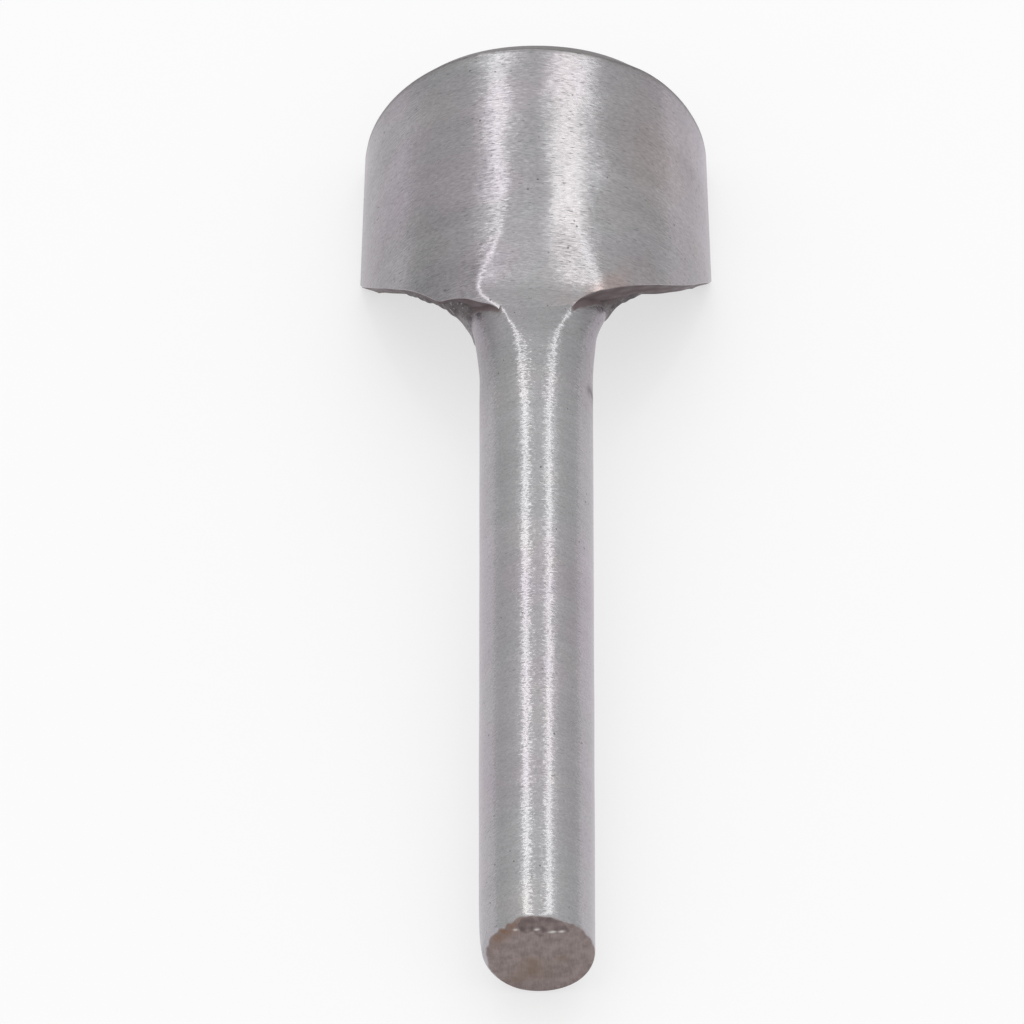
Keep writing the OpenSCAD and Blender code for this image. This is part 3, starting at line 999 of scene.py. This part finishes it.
    # painted shade low on the left, on the left side, towards both edges and over the whole bevel; a
    # painted highlight right of the middle
    paintedShading = hill(x, *s["dimHill"]) * (1 - smoothStep(99.0, 110.0, z))
    paintedShading = paintedShading + 0.25 * smoothStep(4.0, 9.0, -x) + 0.75 * smoothStep(14.0, 17.5, np.abs(x))
    paintedHighlight = hill(x, *s["paintedHighlightHill"])
    paintedShading = np.clip(paintedShading + 0.2 * waves(x, z, 9.0, 91), 0, 1.2) - 0.6 * paintedHighlight
    layMark(mesh, "paintedShading", isOuter * paintedShading + isBevel[:, None] * 1.0)
    warm = hill(x, *s["warmHeel"]) * hill(lift, 0, 3.2) * (0.75 + 0.4 * waves(x, z, 3.0, 81))
    warm = warm + 0.7 * hill(x, *s["warmHigh"]) * hill(z, *s["warmHighZ"])
    edgeWarm = hill(x, *s["warmEdge"]) * hill(lift, 0, 1.3) * (0.8 + 0.4 * waves(x, z, 2.0, 82))
    # tinge: heat tint near the heel and high on the right, and a pink tint on the painted highlight
    tinge = np.clip(0.75 * warm + 0.6 * edgeWarm + 0.2 * paintedHighlight, 0, 1)
    layMark(mesh, "tinge", isOuter * tinge)
    border = np.interp(z, s["borderZ"], s["borderX"])
    calm = smoothStep(border - 0.1, border + 0.5, x) * (1 - smoothStep(1.0, 3.5, x))
    calm = calm * (1 - smoothStep(101.0, 107.0, z))
    lively = hill(x, border - 0.5, 0.8) * (1 - smoothStep(103.0, 108.0, z))
    lively = lively + hill(x, *s["livelyHill"]) * hill(lift, 0, 2.2)
    layMark(mesh, "calm", isOuter * (calm - 1.6 * np.clip(lively, 0, 1)))
    putPiece("bladeHalfRing", mesh, "blade")


makeBlade()


# the two fillets in the corners between the heel and the bar
filletLeft = {
    "side": -1,
    "out": [-1.0, 0.0, 0.2, 0.75, 1.29, 1.95, 3.04, 4.46, 6.98, 9.0, 10.0],
    "high": [9.0, 8.7, 7.9, 5.25, 4.4, 3.5, 2.6, 1.75, 0.87, 0.25, 0.02],
    "most": 6.0,
    "step": 1.1,
    "behind": 1.0,
    "lumps": 0.09,
    "darkened": 0.2,
    "wornTo": 3.0,  # the toe is worn down to steel this far out and below this level
    "wornBelow": 0.1,
    "seed": 5,
}
filletRight = {
    "side": 1,
    "out": [-1.0, 0.0, 0.35, 0.68, 1.34, 1.99, 2.65, 4.5, 5.8, 6.5],
    "high": [8.0, 6.6, 5.25, 4.4, 3.5, 2.6, 1.75, 0.87, 0.3, 0.02],
    "most": 3.6,
    "step": 2.6,
    "behind": 1.0,
    "lumps": 0.06,
    "darkened": 0.45,
    "wornTo": 2.4,
    "wornBelow": 0.3,
    "seed": 9,
}
filletGrid = {"along": 90, "around": 46}


def makeFillet(name, node, s):
    turn = tool["heelAngle"]
    out = np.linspace(s["out"][0], s["out"][-1], filletGrid["along"])
    high = np.interp(out, s["out"], s["high"])
    for _ in range(3):  # take the corners out of the measured outline
        high[1:-1] = 0.25 * high[:-2] + 0.5 * high[1:-1] + 0.25 * high[2:]
    across = tool["shankR"] + out
    share = np.linspace(0, 1, filletGrid["around"])
    frontW = np.sqrt(tool["bladeR"] ** 2 - across ** 2) / math.cos(turn) - s["step"]
    backW = np.sqrt(tool["cutR"] ** 2 - across ** 2) / math.cos(turn) - s["behind"]
    w = frontW[:, None] + share[None, :] * (backW - frontW)[:, None]
    high = smoothMin(high, s["most"] + 0 * high, 0.5) + 0.05
    v = high[:, None] * np.sin(math.pi * share)[None, :] ** 0.5
    v = v + s["lumps"] * waves(across[:, None], w, 1.6, s["seed"]) * np.clip(v, 0, 1)
    v = np.maximum(v, 0.0) - 0.04
    # the underside of the ring lies a little inside the heel
    underFront = frontW - 1.6
    underBack = np.minimum(backW, underFront - 0.4)
    wUnder = underBack[:, None] + share[None, :] * (underFront - underBack)[:, None]
    wRing = np.concatenate([w, wUnder], 1)
    vRing = np.concatenate([v, np.full_like(v, -1.0)], 1)
    xRing = s["side"] * (across[:, None] + 0 * wRing)
    d = -tool["bladeBack"] + wRing * math.cos(turn) - vRing * math.sin(turn)
    z = tool["heelZ"] - wRing * math.sin(turn) - vRing * math.cos(turn)
    rowCount, columnCount = d.shape
    index = np.arange(rowCount * columnCount).reshape(rowCount, columnCount)
    near, far = index[:-1], index[1:]
    quads = np.stack([near, np.roll(near, -1, 1), np.roll(far, -1, 1), far], -1).reshape(-1, 4)
    faces = [tuple(q) for q in quads.tolist()]
    faces.append(tuple(index[0].tolist()))
    faces.append(tuple(index[-1, ::-1].tolist()))
    mesh = meshFrom(name, np.stack([xRing.ravel(), d.ravel(), z.ravel()], 1), faces, weldMetal)
    faceOut(mesh)
    mesh.set_sharp_from_angle(angle=math.radians(60))
    # the top of the fillet next to the heel goes dark brown, soot with painted shade; the hidden
    # underside ring is painted shade all over
    level = v / np.maximum(high, 0.3)[:, None] + 0.12 * waves(across[:, None], w, 1.1, s["seed"] + 1)
    darkened = 1 - smoothStep(s["darkened"] - 0.15, s["darkened"] + 0.15, level)
    layMark(mesh, "sootAndShade", np.concatenate([darkened, np.ones_like(darkened)], 1))
    nearToe = 1 - smoothStep(0.5 * s["wornTo"], s["wornTo"], out)
    worn = nearToe[:, None] * (1 - smoothStep(-0.3, 0.6, d[:, :len(share)] - s["wornBelow"]))
    layMark(mesh, "worn", np.concatenate([worn, np.zeros_like(worn)], 1))
    putPiece(name, mesh, node)


makeFillet("filletLeft", "weld_left", filletLeft)
makeFillet("filletRight", "weld_right", filletRight)


# bead inside the hollow: ripples laid one on the next, up both sides of the tail and across its tip
beadSet = {
    "Bead": 1.25,
    "Pitch": 0.72,
    "Flat": 0.62,
    "Core": 0.72,  # of the bead's radius
    "Seed": 7,
    "Material": weldMetal,
}


def beadTree(sizes):
    tree, keys, given, out = newTree("tailBead", sizes)
    line = addNode(tree, "GeometryNodeMeshToCurve", {"Mesh": given["Path"]})
    stops = addNode(tree, "GeometryNodeCurveToPoints", {
        "Curve": line.outputs[0], "Length": given["Pitch"],
    }, mode="LENGTH")
    drop = addNode(tree, "GeometryNodeMeshIcoSphere", {"Radius": given["Bead"], "Subdivisions": 3})
    size = addNode(tree, "FunctionNodeRandomValue", {
        2: 0.88, 3: 1.08, "Seed": given["Seed"],
    }, data_type="FLOAT")
    flat = addNode(tree, "ShaderNodeCombineXYZ", {
        "X": size.outputs[1], "Y": size.outputs[1], "Z": given["Flat"],
    })
    laid = addNode(tree, "GeometryNodeInstanceOnPoints", {
        "Points": stops.outputs["Points"], "Instance": drop.outputs["Mesh"],
        "Rotation": stops.outputs["Rotation"], "Scale": flat.outputs[0],
    })
    ring = addNode(tree, "GeometryNodeCurvePrimitiveCircle", {
        "Resolution": 20, "Radius": times(tree, given["Bead"], given["Core"]),
    })
    core = addNode(tree, "GeometryNodeCurveToMesh", {
        "Curve": line.outputs[0], "Profile Curve": ring.outputs[0], "Fill Caps": True,
    })
    both = addNode(tree, "GeometryNodeJoinGeometry")
    tree.links.new(laid.outputs[0], both.inputs[0])
    tree.links.new(core.outputs[0], both.inputs[0])
    real = addNode(tree, "GeometryNodeRealizeInstances", {"Geometry": both.outputs[0]})
    done = addNode(tree, "GeometryNodeSetMaterial", {
        "Geometry": real.outputs[0], "Material": given["Material"],
    })
    tree.links.new(done.outputs[0], out)
    return tree, keys


def makeBead():
    back, inR, barR = tool["bladeBack"], tool["cutR"], tool["shankR"]
    # the bar meets the inside of the wall at sideX, sideD
    sideD = (inR ** 2 - barR ** 2 - back ** 2) / (2 * back)
    sideX = math.sqrt(barR ** 2 - sideD ** 2)
    rise = math.tan(tool["tailAngle"])
    tipD = inR - back
    topZ = tool["tailTipZ"] - (tipD - sideD) / rise
    startZ = tool["heelZ"] - math.tan(tool["heelAngle"]) * (sideD + back) + 1.6
    right = [(sideX + 0.55, sideD - 0.55, z) for z in np.linspace(startZ, topZ - 0.4, 14)]
    over = []
    for x in np.linspace(sideX, -sideX, 25):
        d = math.sqrt(inR ** 2 - x ** 2) - back
        over.append((x * 1.06, d - 0.6, tool["tailTipZ"] - (tipD - d) / rise + 0.75))
    left = [(-x, d, z) for x, d, z in reversed(right)]
    route = np.array(right + over + left)
    for _ in range(6):  # ease the two corners
        route[1:-1] = 0.25 * route[:-2] + 0.5 * route[1:-1] + 0.25 * route[2:]
    tree, keys = beadTree(beadSet)
    mesh = runTree(tree, keys, beadSet, "tailBead", route.tolist())
    setPoints(mesh, pointsOf(mesh))
    faceOut(mesh)
    mesh.shade_smooth()
    putPiece("tailBead", mesh, "weld_tail")


makeBead()
